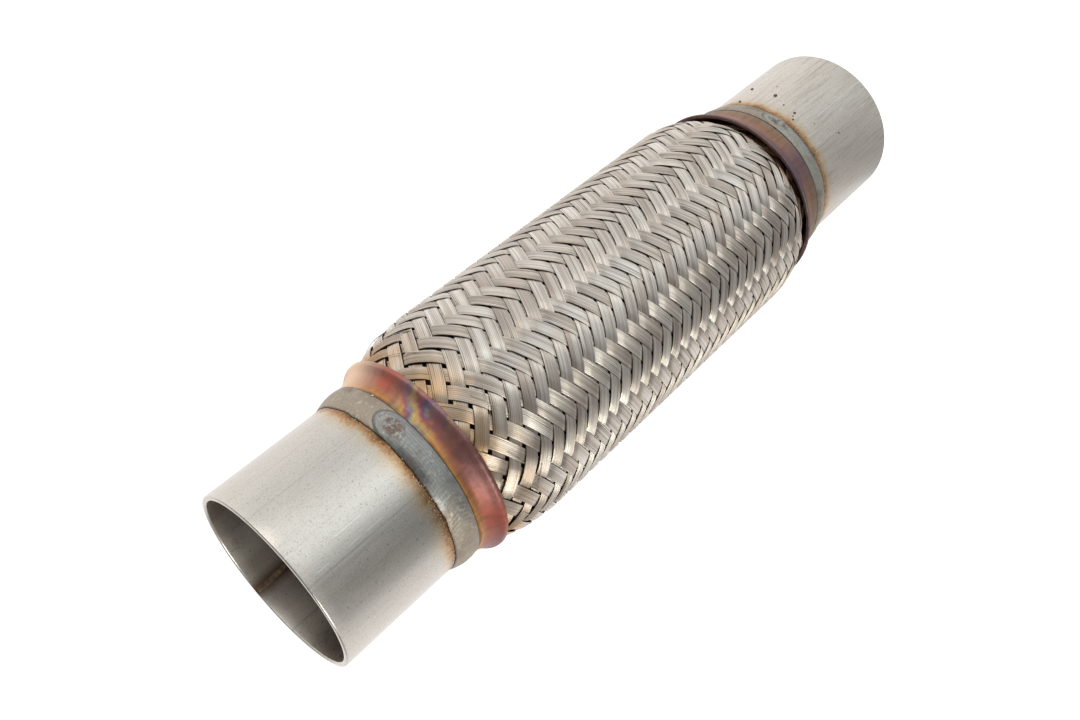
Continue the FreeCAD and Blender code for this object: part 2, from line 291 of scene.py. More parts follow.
class Steel(Material):
    """A metal with coordinates round and along the pipe."""

    def __init__(self, name):
        super().__init__(name, "BsdfPrincipled", {"Metallic": 1.0})
        self.place = self.add("TexCoord").outputs["Object"]
        across, deep, self.height = self.add("SeparateXYZ", {0: self.place}).outputs
        square = self.plus(self.times(across, across), self.times(deep, deep))
        self.radius = self.calc("SQRT", square)
        self.turn = self.turn_of(across, deep)

    def noise(self, scale, detail, rough, along=1.0):
        """Noise over the pipe, drawn out along its axis where along is under 1."""
        place = self.place
        if along < 1:
            squeeze = {"Vector": place, "Scale": (1.0, 1.0, along)}
            place = self.add("Mapping", squeeze).outputs[0]
        node = self.add("TexNoise", {
            "Vector": place, "Scale": scale, "Detail": detail, "Roughness": rough,
        })
        return node.outputs[0]

    def point_value(self, name, output):
        """What each point of the mesh stores under a name."""
        return self.add("Attribute", attribute_name=name).outputs[output]

    def bump(self, height, distance, strength, under=None):
        node = self.add("Bump", {"Height": height, "Distance": distance, "Strength": strength})
        if under is not None:
            self.feed(node.inputs["Normal"], under)
        return node.outputs[0]

    def overlay(self, base, layers):
        """Colours over a base, each as strong as the ramp of its own value."""
        for ramp, colour in layers:
            base = self.mix(self.ramp(*ramp), base, colour)
        return base

    def end_distance(self, side):
        """Distance in mm from the toe of one end's weld, growing towards its mouth."""
        toe = ENDS[side]["toe"]
        if side == "rear":
            offset = self.calc("SUBTRACT", toe, self.height)
        else:
            offset = self.calc("SUBTRACT", self.height, TOP - toe)
        return self.times(offset, 1000.0)

    def bell(self, centre, width):
        """1 at one turn, falling to 0 at width from it, both in degrees."""
        away = self.calc("SUBTRACT", self.turn, math.radians(centre))
        away = self.calc("ABSOLUTE", self.calc("WRAP", away, math.pi, -math.pi))
        return self.ramp(away, 0.0, math.radians(width), 1.0, 0.0)


def srgb(red, green, blue):
    """A colour given as the eye reads it on a screen, 0 to 255."""
    def linear(value):
        value /= 255
        return value / 12.92 if value <= 0.04045 else ((value + 0.055) / 1.055) ** 2.4
    return (linear(red), linear(green), linear(blue), 1.0)


# The darker and the paler colour of each tube, and how strongly its drawn lines show.
TUBE_COLOURS = {
    "front": (srgb(199, 189, 179), srgb(220, 212, 202)),
    "rear": (srgb(196, 180, 166), srgb(234, 221, 208)),
}
DRAWN_LINES = {"front": 0.16, "rear": 0.5}
# Single dark lines along a tube: turn in degrees, half width in mm and strength.
DARK_LINES = (
    (13, 0.5, 0.4), (16, 0.9, 0.25), (-33, 0.35, 0.18), (150, 0.6, 0.3), (-118, 0.5, 0.3),
)
# Bright scratches along a tube: turn in degrees and half width in mm.
SCRATCHES = ((-5, 0.14), (2, 0.10), (10, 0.12))
# Brown heat tint beside a weld: distances from its toe in mm where a layer starts to fade and
# where it ends, strength and colour.
TUBE_TINT = (
    (0.8, 6.0, 0.7, srgb(206, 172, 124)),
    (0.2, 3.2, 0.85, srgb(160, 104, 54)),
    (-0.8, 1.0, 0.8, srgb(88, 62, 44)),
)


def tube_degrees(width):
    """How many degrees of turn a width in mm takes on a tube."""
    return math.degrees(width * MM / TUBE_RADIUS)


def nipple_steel(side):
    steel = Steel(side + "_nipple_steel")
    lines = steel.noise(1300, 3, 0.6, along=0.05)
    fine = steel.noise(3200, 3, 0.7)
    pits = steel.noise(1500, 2, 0.6)
    cloud = steel.noise(60, 4, 0.6, along=0.35)
    base = steel.mix(cloud, *TUBE_COLOURS[side])
    base = steel.overlay(base, (
        ((lines, 0.45, 0.72, 0.0, DRAWN_LINES[side]), srgb(166, 157, 144)),
        ((fine, 0.50, 0.66, 0.0, 0.5), srgb(156, 145, 131)),
        ((pits, 0.66, 0.72, 0.0, 0.65), srgb(116, 101, 86)),
    ))
    broken = steel.ramp(cloud, 0.35, 0.6, 0.3, 1.0)
    for turn, width, strength in DARK_LINES:
        line = steel.times(steel.bell(turn, tube_degrees(width)), broken, strength)
        base = steel.mix(line, base, srgb(110, 104, 98))
    for turn, width in SCRATCHES:
        broken = steel.ramp(steel.noise(90 + 10 * turn, 2, 0.5), 0.5, 0.56)
        scratch = steel.times(steel.bell(turn, tube_degrees(width)), broken, 0.7)
        base = steel.mix(scratch, base, srgb(250, 248, 242))
    ragged = steel.scaled(steel.noise(190, 4, 0.65), 5.0, -2.5)
    grainy = steel.scaled(steel.noise(1300, 3, 0.7), 3.0, -1.5)
    away = steel.plus(steel.plus(steel.end_distance(side), ragged), grainy)
    for full, clear, strength, colour in TUBE_TINT:
        base = steel.mix(steel.ramp(away, full, clear, strength, 0.0), base, colour)
    seam = steel.bell(-90 - SEAM_AZIMUTH[side], SEAM_STAIN)
    inside = steel.ramp(steel.radius, TUBE_RADIUS - 1.2 * MM, TUBE_RADIUS - 0.8 * MM, 1.0, 0.0)
    seam = steel.times(seam, steel.ramp(cloud, 0.3, 0.6, 0.3, 1.0), inside)
    base = steel.mix(seam, base, srgb(116, 86, 62))
    steel.set("Base Color", base)
    rough = steel.ramp(cloud, 0.3, 0.7, 0.25, 0.33)
    steel.set("Roughness", steel.plus(rough, steel.ramp(fine, 0.5, 0.75, 0.0, 0.14)))
    grain = steel.bump(lines, 0.00001, 0.25)
    steel.set("Normal", steel.bump(fine, 0.00002, 0.22, grain))
    return steel.material


# Heat tint of a cap: the distance from the weld's toe where it starts, in mm, and its colours
# by the share of the way from the weld to the rim.
TINT_START = 9.0
CAP_TINT = {
    "front": (
        (0.00, srgb(140, 96, 60)), (0.09, srgb(198, 142, 84)), (0.18, srgb(184, 124, 86)),
        (0.38, srgb(172, 112, 92)), (0.60, srgb(156, 106, 98)), (0.82, srgb(148, 106, 102)),
        (0.96, srgb(164, 124, 114)),
    ),
    "rear": (
        (0.00, srgb(150, 128, 108)), (0.15, srgb(160, 120, 96)), (0.35, srgb(170, 126, 104)),
        (0.60, srgb(150, 112, 100)), (0.82, srgb(122, 102, 102)), (0.96, srgb(146, 128, 126)),
    ),
}
# Deeper patches on the front cap: turn and half width in degrees, and colour.
RED_PATCHES = (
    (54, 28, srgb(178, 94, 78)), (-44, 13, srgb(186, 100, 80)), (18, 34, srgb(116, 78, 76)),
)
RAINBOW = (
    (0.00, srgb(196, 160, 96)), (0.20, srgb(160, 96, 104)), (0.40, srgb(110, 84, 130)),
    (0.58, srgb(112, 132, 150)), (0.78, srgb(188, 176, 118)), (1.00, srgb(196, 160, 96)),
)


def front_cap_tint(steel, base, share, wave, patch):
    """The red patches, the rainbow burst and the drawn streaks that the photo shows in front."""
    red = steel.times(steel.ramp(share, 0.15, 0.5), steel.ramp(patch, 0.3, 0.55, 0.35, 1.0))
    for turn, width, colour in RED_PATCHES:
        base = steel.mix(steel.times(steel.bell(turn, width), red), base, colour)
    burst = steel.times(steel.bell(-18, 22), steel.ramp(patch, 0.32, 0.6, 0.25, 1.0), 0.8)
    swirl = steel.scaled(steel.turn, 3.2, steel.times(wave, 3.4))
    swirl = steel.calc("FRACT", steel.scaled(share, 0.6, swirl))
    base = steel.mix(burst, base, steel.colours(swirl, RAINBOW))
    streak = steel.ramp(steel.noise(900, 2, 0.6, along=0.12), 0.45, 0.7)
    return steel.mix(steel.times(steel.bell(-62, 16), streak), base, srgb(150, 98, 68))


def cap_steel(side):
    steel = Steel(side + "_cap_steel")
    away = steel.times(steel.end_distance(side), -1.0)
    wave = steel.noise(90, 3, 0.6)
    depth = steel.scaled(wave, 3.0, steel.calc("SUBTRACT", away, TINT_START))
    share = steel.calc("DIVIDE", depth, (ENDS[side]["rim"] - ENDS[side]["heel"]) / MM)
    base = steel.colours(share, CAP_TINT[side])
    patch = steel.noise(240, 4, 0.65, along=0.5)
    if side == "front":
        base = front_cap_tint(steel, base, share, wave, patch)
    else:
        base = steel.mix(steel.times(steel.bell(12, 22), 0.7), base, srgb(118, 94, 112))
    drawn = steel.noise(520, 3, 0.6, along=0.15)
    fine = steel.noise(3800, 2, 0.6)
    base = steel.overlay(base, (
        ((patch, 0.5, 0.75, 0.0, 0.35), srgb(136, 104, 92)),
        ((drawn, 0.46, 0.66, 0.0, 0.32), srgb(112, 80, 68)),
        ((fine, 0.62, 0.74, 0.0, 0.4), srgb(84, 64, 58)),
    ))
    # Painted highlight: the front cap is painted paler on its left side, around turn -80, where that side
    # catches the light.
    if side == "front":
        base = steel.mix(steel.times(steel.bell(-80, 36), 0.9), base, srgb(236, 202, 170))
    steel.set("Base Color", base)
    steel.set("Roughness", steel.ramp(fine, 0.3, 0.8, 0.42, 0.58))
    steel.set("Normal", steel.bump(fine, 0.00003, 0.3))
    return steel.material


# The darker and the paler colour of the last run of weld.
FRESH_WELD = {
    "front": (srgb(132, 130, 126), srgb(178, 176, 170)),
    "rear": (srgb(146, 140, 131), srgb(200, 194, 183)),
}


def weld_metal(side):
    """Grey metal of the last run over a browner older one, with a stained crater.

    Across the bead -1 is its toe and 1 its heel. Along it 0 is the middle of the lens where
    the run starts, and 1 and -1 are its ends.
    """
    steel = Steel(side + "_weld_metal")
    cloud = steel.noise(260, 4, 0.65)
    fine = steel.noise(2400, 3, 0.6)
    away = steel.end_distance(side)
    width = (ENDS[side]["heel"] - ENDS[side]["toe"]) / MM
    across = steel.scaled(away, -2.0 / width, -1.0)
    turn = steel.calc("SUBTRACT", steel.times(steel.turn, 360 / TAU), LENS_TURN[side])
    along = steel.calc("DIVIDE", turn, LENS_REACH)
    before = steel.calc("MINIMUM", along, 0.0)
    square = steel.times(across, across, 0.88)
    reach = steel.calc("SQRT", steel.plus(steel.times(before, before), square))
    ragged = steel.scaled(cloud, 0.10, -0.05)
    reach = steel.plus(reach, ragged)
    fresh = steel.ramp(reach, 0.93, 0.99, 1.0, 0.0)
    fresh = steel.times(fresh, steel.ramp(along, 2.2, 5.0, 1.0, 0.0))
    warm = steel.mix(cloud, srgb(122, 108, 94), srgb(204, 188, 170))
    base = steel.mix(fresh, warm, steel.mix(cloud, *FRESH_WELD[side]))
    base = steel.overlay(base, (
        ((fine, 0.58, 0.74, 0.0, 0.5), srgb(92, 82, 72)),
        ((steel.noise(120, 3, 0.6), 0.48, 0.70, 0.0, 0.6), srgb(124, 104, 86)),
        ((steel.noise(900, 3, 0.7), 0.56, 0.66, 0.0, 0.45), srgb(212, 203, 190)),
    ))
    # Painted shade: the toe side of the lens is painted darker, where a groove that the mesh lacks would
    # lie in shade.
    toe_groove_shade = steel.ramp(steel.plus(across, ragged), -0.70, -0.25, 0.65, 0.0)
    toe_groove_shade = steel.times(toe_groove_shade, steel.ramp(along, 0.0, 0.8), steel.ramp(along, 1.8, 2.7, 1.0, 0.0))
    base = steel.mix(toe_groove_shade, base, srgb(88, 84, 80))
    outline = steel.times(steel.ramp(reach, 0.86, 0.95), steel.ramp(reach, 0.97, 1.05, 1.0, 0.0))
    outline = steel.times(outline, steel.ramp(along, -1.3, -0.2, 1.0, 0.0), 0.75)
    base = steel.mix(outline, base, srgb(78, 76, 74))
    rings = steel.calc("SINE", steel.scaled(reach, 34.0, steel.times(cloud, 5.0)))
    rings = steel.times(steel.ramp(rings, 0.2, 1.0, 0.0, 0.28), fresh)
    base = steel.mix(rings, base, srgb(96, 98, 96))
    spots = steel.ramp(steel.noise(620, 3, 0.7), 0.42, 0.56)
    off = steel.times(steel.plus(along, 0.15), 1.5)
    crater = steel.plus(steel.times(off, off), steel.times(square, 2.2))
    crater = steel.ramp(steel.calc("SQRT", crater), 0.5, 1.1, 1.0, 0.0)
    base = steel.mix(steel.times(crater, spots, 0.85), base, srgb(118, 94, 80))
    steel.set("Base Color", steel.overlay(base, (
        ((away, -0.8, 0.15, 0.0, 0.85), srgb(92, 74, 58)),
        ((away, -width, -width + 0.5, 0.7, 0.0), srgb(96, 78, 62)),
    )))
    steel.set("Roughness", steel.ramp(cloud, 0.3, 0.7, 0.44, 0.62))
    steel.set("Normal", steel.bump(fine, 0.00005, 0.5))
    return steel.material


# Straw tint of the braid beside each cap: how far it reaches from the rim in mm, and colour.
BRAID_TINT = {"front": (16.0, srgb(212, 166, 112)), "rear": (8.0, srgb(202, 156, 114))}


def braid_steel():
    """Drawn wire, whose highlights stretch across the wires."""
    steel = Steel("braid_wire")
    cloud = steel.noise(120, 3, 0.6)
    base = steel.mix(steel.point_value("tone", "Fac"), srgb(194, 178, 165), srgb(250, 240, 228))
    base = steel.mix(steel.ramp(cloud, 0.35, 0.75, 0.0, 0.5), base, srgb(220, 200, 182))
    patch = steel.ramp(steel.noise(75, 3, 0.6), 0.35, 0.62, 0.25, 1.0)
    for side, (reach, colour) in BRAID_TINT.items():
        away = steel.times(steel.end_distance(side), -1.0)
        rim = (ENDS[side]["rim"] - ENDS[side]["toe"]) / MM
        tint = steel.times(steel.ramp(away, rim - 1.0, rim + reach, 0.8, 0.0), patch)
        base = steel.mix(tint, base, colour)
    # Painted shade: the grooves between wires, the splits, the band's edges and its underside are painted
    # dark where shade falls.
    groove_shade = steel.times(steel.point_value("groove_shade", "Fac"), 0.92)
    base = steel.mix(groove_shade, base, srgb(54, 42, 34))
    steel.set("Base Color", base)
    fine = steel.noise(5200, 2, 0.5)
    steel.set("Roughness", steel.ramp(fine, 0.3, 0.8, 0.42, 0.52))
    steel.set("Anisotropic", 0.95)
    steel.set("Tangent", steel.point_value("across_wires", "Vector"))
    return steel.material


def cloudy_steel(name, noise, colours, roughness):
    """Metal in clouds of two colours and two roughnesses."""
    steel = Steel(name)
    steel.cloud = steel.noise(*noise)
    steel.set("Base Color", steel.mix(steel.cloud, *colours))
    steel.set("Roughness", steel.ramp(steel.cloud, 0.3, 0.7, *roughness))
    return steel


def inner_steel(name, ring_height, colour):
    """Dull sheet in rings that are ring_height apart, as strip wound hose or bellows show them."""
    steel = cloudy_steel(name, (180, 3, 0.6), (colour, srgb(118, 108, 96)), (0.4, 0.55))
    rings = steel.calc("FRACT", steel.calc("DIVIDE", steel.height, ring_height))
    steel.set("Normal", steel.bump(steel.ramp(rings, 0.0, 0.3), 0.0006, 0.8))
    return steel.material


def seam_steel():
    colours = srgb(66, 50, 40), srgb(150, 128, 106)
    steel = cloudy_steel("seam_steel", (500, 4, 0.65, 0.3), colours, (0.4, 0.6))
    steel.set("Normal", steel.bump(steel.cloud, 0.00006, 0.5))
    return steel.material


def plain_steel(name, dark, pale):
    """Metal of small drops and loose wires."""
    return cloudy_steel(name, (900, 2, 0.6), (dark, pale), (0.32, 0.5)).material


# Nipples

NIPPLE_SEGMENTS = 192
NIPPLE_STEP = 3.0 * MM
MOUTH_ROUND = 0.45 * MM
# How far the tube stays inside the frame's round one.
TUBE_SINK = 0.01 * MM


def nipple(side):
    """Drawn tube with a slightly rounded mouth and a faint out-of-round."""
    joint = ENDS[side]["joint"]
    outline = round_corners([
        (BORE_RADIUS, 0.0, MOUTH_ROUND), (TUBE_RADIUS, 0.0, MOUTH_ROUND),
        (TUBE_RADIUS, joint, 0), (BORE_RADIUS, joint, 0),
    ], 5)
    waves = random_waves(random.Random("nipple " + side), (2, 3, 5), 0.01, 0.03)

    def shift(height, angle):
        return min(wave_height(waves, angle), 0.0) - TUBE_SINK, 0.0

    outline = dense(outline, NIPPLE_STEP)
    steel = nipple_steel(side)
    item = turned(side + "_nipple_tube", side, outline, NIPPLE_SEGMENTS, shift, steel)
    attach(item, "root")
    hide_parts(side + "_nipple")


# End caps

CAP_SEGMENTS = 240
CAP_STEP = 1.2 * MM
# The cap opens as a bell: the share of its rise that it has made about halfway to the rim,
# and how much narrower it still is where the lip starts.
BELL_RISE = 0.42
LIP_RISE = 0.12 * MM
LIP_ROUND = 1.0 * MM
EDGE_ROUND = 0.3 * MM
# Where the out-of-round moves the rim in, it also moves it along by this share.
RIM_SLANT = 0.7


def cap_outline(side):
    end = ENDS[side]
    flare, rim, lip = FLARE_START[side], end["rim"], end["rim_radius"]
    run, rise = rim - flare, lip - NECK_RADIUS
    outside = [
        (TUBE_RADIUS + WELD_LAND, end["joint"], 0),
        (NECK_RADIUS, end["heel"], 0.6 * MM),
        (NECK_RADIUS, flare, 1.6 * MM),
        (NECK_RADIUS + BELL_RISE * rise, flare + 0.48 * run, 2.4 * MM),
        (lip - LIP_RISE, rim - 1.1 * MM, LIP_ROUND),
        (lip, rim, EDGE_ROUND),
    ]
    inside = [
        (lip - CAP_WALL, rim, EDGE_ROUND),
        (lip - LIP_RISE - CAP_WALL, rim - 1.3 * MM, LIP_ROUND),
        (TUBE_RADIUS + BELL_RISE * rise, flare + 0.52 * run, 2.2 * MM),
        (TUBE_RADIUS, flare, 1.6 * MM),
        (TUBE_RADIUS, end["joint"], 0),
    ]
    return dense(round_corners(outside + inside, 6), CAP_STEP)


def end_cap(side):
    """Pressed collar whose bell is a little out of round."""
    waves = random_waves(random.Random("cap " + side), (2, 3, 4, 7), 0.03, 0.07)
    flare, rim = FLARE_START[side], ENDS[side]["rim"]

    def shift(height, angle):
        share = max(0.0, (height - flare) / (rim - flare))
        out = min(wave_height(waves, angle) * share, 0.0)
        return out, RIM_SLANT * out

    steel = cap_steel(side)
    item = turned(side + "_cap_collar", side, cap_outline(side), CAP_SEGMENTS, shift, steel)
    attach(item, "root")
    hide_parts(side + "_end_cap")


# Weld beads

BEAD_ROWS = 26
BEAD_SEGMENTS = 900
# How deep the bead's underside lies in the tube and how far behind its toe it starts.
BEAD_SINK = 0.05 * MM
BEAD_SETBACK = 0.5 * MM
# Height of the crown as a share of the bead's width.
CROWN_SHARE = 0.08
# Fine ripples and broader flows of metal round the bead: their pitch, how far each bends back
# at the edges, in pitches, and their depth.
RIPPLE_PITCH = 1.25 * MM
RIPPLE_BOW = 1.9
FLOW_PITCH = 4.3 * MM
FLOW_BOW = 0.8 * RIPPLE_BOW
RIPPLE_DEPTH = 0.030 * MM
# How far the lens spreads over the tube, and the share of the toe's wander that lifts the bead.
LENS_SPREAD = 0.3 * MM
WANDER_LIFT = 0.22
# The lens slopes up over this share of its half length, and its run fades over so many of them.
LENS_SLOPE = 0.30
RUN_FADE = 4.5
# The crater: its distance from the middle of the lens and its radius, in degrees, and its
# depth and that of the rings round it.
CRATER_OFFSET = 3
CRATER_RADIUS = 6
CRATER_DEPTH = 0.13 * MM
CRATER_RINGS = 0.03 * MM


def crown(side, share):
    """Height of the bead's crown over the line from its toe to its heel."""
    width = ENDS[side]["heel"] - ENDS[side]["toe"]
    return CROWN_SHARE * width * 4 * share * (1 - share)


def fresh_weld(side, turn, across):
    """Height of the last laid weld over the older run: steep at its start, and then fading."""
    along = math.degrees(wrap_angle(turn - math.radians(LENS_TURN[side]))) / LENS_REACH
    if along < 0:
        edge = 1 - math.hypot(along, 0.94 * across)
        return max(0.0, 1 - (1 - min(max(edge, 0.0) / LENS_SLOPE, 1.0)) ** 2.5)
    return max(0.0, 1 - along / RUN_FADE) * (1 - across ** 4)


def crater(side, turn, across):
    """Depth of the crater in the lens, with rings round it."""
    beside = math.degrees(turn) - LENS_TURN[side] + CRATER_OFFSET
    away = math.hypot(beside, CRATER_RADIUS * across) / CRATER_RADIUS
    rings = CRATER_RINGS * math.exp(-away ** 2 / 3) * math.sin(9 * away)
    return CRATER_DEPTH * math.exp(-away ** 2) + rings


def weld_bead(side):
    """A rippled ring whose run starts in a broad, blunt lens with a crater in it."""
    toe, heel, joint = ENDS[side]["toe"], ENDS[side]["heel"], ENDS[side]["joint"]
    rng = random.Random("bead " + side)
    waves = random_waves(rng, (3, 5, 8, 13, 21, 34), 0.03, 0.13)
    waves += random_waves(rng, (41, 67, 97, 131, 173), 0.015, 0.04)
    points = []
    for step in range(BEAD_SEGMENTS):
        angle = TAU * step / BEAD_SEGMENTS
        turn = wrap_angle(-math.pi / 2 - angle)
        wander = wave_height(waves, angle)
        column = []
        for row in range(BEAD_ROWS):
            share = row / (BEAD_ROWS - 1)
            across = 2 * share - 1
            fade = 1 - across ** 4
            lift = fresh_weld(side, turn, across)
            spread = (wander - LENS_SPREAD * lift) * (1 - share) ** 2
            ripple = angle * TUBE_RADIUS / RIPPLE_PITCH + RIPPLE_BOW * across * across
            flow = angle * TUBE_RADIUS / FLOW_PITCH + FLOW_BOW * across * across
            waviness = math.sin(ripple * TAU) + math.sin(flow * TAU + 1.0)
            radius = TUBE_RADIUS + CAP_WALL * share + crown(side, share)
            radius += (RIPPLE_DEPTH * waviness + WANDER_LIFT * wander) * fade
            radius += LENS_HEIGHT[side] * lift - crater(side, turn, across)
            column.append((radius, toe + (heel - toe) * share + spread))
        column += [
            (TUBE_RADIUS + WELD_LAND, joint), (TUBE_RADIUS - BEAD_SINK, joint),
            (TUBE_RADIUS - BEAD_SINK, toe + BEAD_SETBACK),
        ]
        points += [polar(radius, angle, stand(side, height)) for radius, height in column]
    faces = grid_faces(BEAD_SEGMENTS, len(column), True, True)
    item = closed_object(side + "_weld_run", points, faces, weld_metal(side))
    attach(item, "root")
    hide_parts(side + "_weld_bead")


# Seams and spatter

SEAM_STEPS = 90
SEAM_POINTS = 9
SEAM_REACH = 0.9 * MM
SEAM_START = 0.5 * MM
# How far the seam wanders and how high it is, in mm: the limits of a random part, and a wave's
# size and its length for each radian.
SEAM_WANDER = (-0.10, 0.10, 0.22, 2.3)
SEAM_HEIGHT = (0.18, 0.34, 0.08, 1.1)
# How deep the seam's edges and its middle lie in the tube.
SEAM_EDGE_SINK = 0.02 * MM
SEAM_SINK = 0.25 * MM


def uneven(rng, height, least, most, wave, length):
    """A random length and a slow wave along the tube, from numbers in mm."""
    return (rng.uniform(least, most) + wave * math.sin(height / (length * MM))) * MM


def tube_seam(side):
    """The weld line inside a rolled tube: a low, uneven ridge along the bore."""
    rng = random.Random("seam " + side)
    middle = math.radians(SEAM_AZIMUTH[side])
    length = ENDS[side]["joint"] - SEAM_START
    points = []
    for step in range(SEAM_STEPS + 1):
        height = SEAM_START + length * step / SEAM_STEPS
        wander = uneven(rng, height, *SEAM_WANDER)
        lift = uneven(rng, height, *SEAM_HEIGHT)
        for place in range(SEAM_POINTS):
            share = 2 * place / (SEAM_POINTS - 1) - 1
            angle = middle + (SEAM_REACH * share + wander) / BORE_RADIUS
            radius = BORE_RADIUS + SEAM_EDGE_SINK - lift * (1 - share * share)
            points.append(polar(radius, angle, stand(side, height)))
        points.append(polar(BORE_RADIUS + SEAM_SINK, middle, stand(side, height)))
    faces = rod_faces(0, SEAM_STEPS + 1, SEAM_POINTS + 1)
    item = closed_object(side + "_tube_seam", points, faces, SEAM_STEEL)
    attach(item, "root")


DROP_RINGS = 4
DROP_SIDES = 8
# Height of a drop as a share of its radius.
DROP_RISE = 0.8


def drops(name, material, places):
    """Small beads of metal on the outside, each given as turn, height, radius and size."""
    points, faces = [], []
    for turn, height, radius, size in places:
        angle = -math.pi / 2 - turn
        out = Vector((math.cos(angle), math.sin(angle), 0))
        sideways = Vector((-math.sin(angle), math.cos(angle), 0))
        centre = out * radius + Vector((0, 0, height))
        faces += rod_faces(len(points), DROP_RINGS + 1, DROP_SIDES)
        for ring in range(DROP_RINGS + 1):
            tilt = math.pi * 0.5 * ring / (DROP_RINGS + 0.5)
            for step in range(DROP_SIDES):
                around = TAU * step / DROP_SIDES
                flat = sideways * math.cos(around) + Vector((0, 0, math.sin(around)))
                way = flat * math.cos(tilt) + out * math.sin(tilt) * DROP_RISE
                points.append(tuple(centre + way * size))
    item = closed_object(name, points, faces, material)
    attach(item, "root")


SPATTER_GRAINS = 230


def fine_spatter(side):
    """Grains thrown along the toe of a weld, most of them on the side where its run starts."""
    rng = random.Random("spatter " + side)
    places = []
    for grain in range(SPATTER_GRAINS):
        turn = rng.gauss(0, 1.0) if grain % 3 else rng.uniform(-math.pi, math.pi)
        away = (abs(rng.gauss(0, 0.8)) + 0.1) * MM
        height = stand(side, ENDS[side]["toe"] - away)
        places.append((turn, height, TUBE_RADIUS, rng.uniform(0.06, 0.15) * MM))
    drops(side + "_fine_spatter", PALE_SPATTER, places)


# Drops on the rear nipple, as turn in degrees, height and size in mm, and how deep they sit.
DARK_DROPS = (
    (-62, 27.0, 0.56), (-58, 37.0, 0.48), (-38, 30.0, 0.68), (-27, 33.0, 0.336),
    (-17, 33.5, 0.528), (-14, 36.5, 0.44), (-16, 35.2, 0.32), (-2, 31.0, 0.24),
    (-44, 24.5, 0.256), (14, 24.0, 0.36),
)
DARK_DROP_SINK = 0.08 * MM
# Drops round the front weld, as turn in degrees, distance from the mouth in mm, radius where
# they sit and size in mm.
BRIGHT_DROPS = (
    (-44, 43.3, NECK_RADIUS + 0.1 * MM, 0.42),
    (-23, 39.6, TUBE_RADIUS + 1.3 * MM, 0.26),
    (-6, 36.2, TUBE_RADIUS + 0.1 * MM, 0.22),
)


def seen_drops():
    drops("rear_dark_drops", DARK_SPATTER, [
        (math.radians(turn), height * MM, TUBE_RADIUS - DARK_DROP_SINK, size * MM)
        for turn, height, size in DARK_DROPS
    ])
    drops("front_bright_drops", PALE_SPATTER, [
        (math.radians(turn), TOP - height * MM, radius, size * MM)
        for turn, height, radius, size in BRIGHT_DROPS
    ])


# Braid

STRIPE_PAIRS = 12
COLUMNS = 4 * STRIPE_PAIRS
COLUMN_ANGLE = TAU / COLUMNS
CREST_RADIUS = 34.0 * MM
ROW_RISE = 2.3 * MM
CROSSING = math.hypot(CREST_RADIUS * COLUMN_ANGLE, ROW_RISE)
SHOULDERS = {
    "rear": {"length": 18.0 * MM, "power": 2.9, "gap": 1.7 * MM},
    "front": {"length": 21.4 * MM, "power": 1.85, "gap": 0.05 * MM},
}
REAR_RIM = ENDS["rear"]["rim"]
FRONT_RIM = TOP - ENDS["front"]["rim"]
# Spare rows beyond each rim, and how many of them the bands run on over.
SPARE_ROWS = 2
BAND_OVERRUN = 1.3
# A band is wires side by side with grooves between them, which open into splits here and
# there. The edges of a wire's top are shares of its width.
WIRES = 8
BAND_WIDTH = 3.6 * MM
WIRE_HEIGHT = 0.10 * MM
WIRE_EDGES = (0.28, 0.72)
WIRE_CROWN = 0.9
BAND_UNDER = 0.14 * MM
EDGE_CURL = 0.12 * MM
SPLITS = 12
SPLIT_DEPTH = 0.13 * MM
# Ranges of chance: half a split's length in rows, how low a wire lies in mm, how far a band
# sways in mm and how often in a row, its tone and how far its wires' tones are from it.
SPLIT_REACH = (0.8, 2.4)
WIRE_LOW = (-0.03, 0.0)
SWAY_SIZE = (0.02, 0.08)
SWAY_RATE = (0.02, 0.12)
BAND_TONE = (0.2, 0.8)
WIRE_TONE = (-0.45, 0.45)
# Half of how far a band dives under the next two, how abruptly, and its rings of points a row.
BAND_RELIEF = 0.36 * MM
FLOAT_STEEPNESS = 2.4
SAMPLES = 4
# No wire reaches out of the frame's braid.
BRAID_LIMIT = node_box("outer_braid")[1].x
BAND_CLEARANCE = 0.01 * MM


def braid_crest(height):
    """Radius of the braid's outside at a height, from cap to cap."""
    radius = CREST_RADIUS
    for side, along in (("rear", height - REAR_RIM), ("front", FRONT_RIM - height)):
        shoulder = SHOULDERS[side]
        edge = ENDS[side]["rim_radius"] - CAP_WALL - shoulder["gap"]
        if along < 0:
            share = -along / (ENDS[side]["rim"] - FLARE_START[side])
            return edge + (TUBE_RADIUS - edge) * min(share, 1.0)
        if along < shoulder["length"]:
            fall = (1 - along / shoulder["length"]) ** shoulder["power"]
            radius -= (CREST_RADIUS - edge) * fall
    return radius


def row_heights():
    """Heights of the rows where bands cross, with two spare rows under each cap."""
    rows = [REAR_RIM]
    while rows[-1] < FRONT_RIM:
        across = braid_crest(rows[-1]) * COLUMN_ANGLE
        rows.append(rows[-1] + math.sqrt(CROSSING ** 2 - across ** 2))
    if len(rows) % 2 == 0:
        rows.pop()
    stretch = (FRONT_RIM - REAR_RIM) / (rows[-1] - REAR_RIM)
    rows = [REAR_RIM + (row - REAR_RIM) * stretch for row in rows]
    low, high = rows[1] - rows[0], rows[-1] - rows[-2]
    return [rows[0] - 2 * low, rows[0] - low] + rows + [rows[-1] + high, rows[-1] + 2 * high]


ROWS = row_heights()
LAST_ROW = len(ROWS) - 1 - 2 * SPARE_ROWS


def row_place(row):
    """Height at a row counted from the rear rim, between rows too."""
    place = min(max(row + SPARE_ROWS, 0.0), len(ROWS) - 1.001)
    low = int(place)
    return ROWS[low] + (ROWS[low + 1] - ROWS[low]) * (place - low)


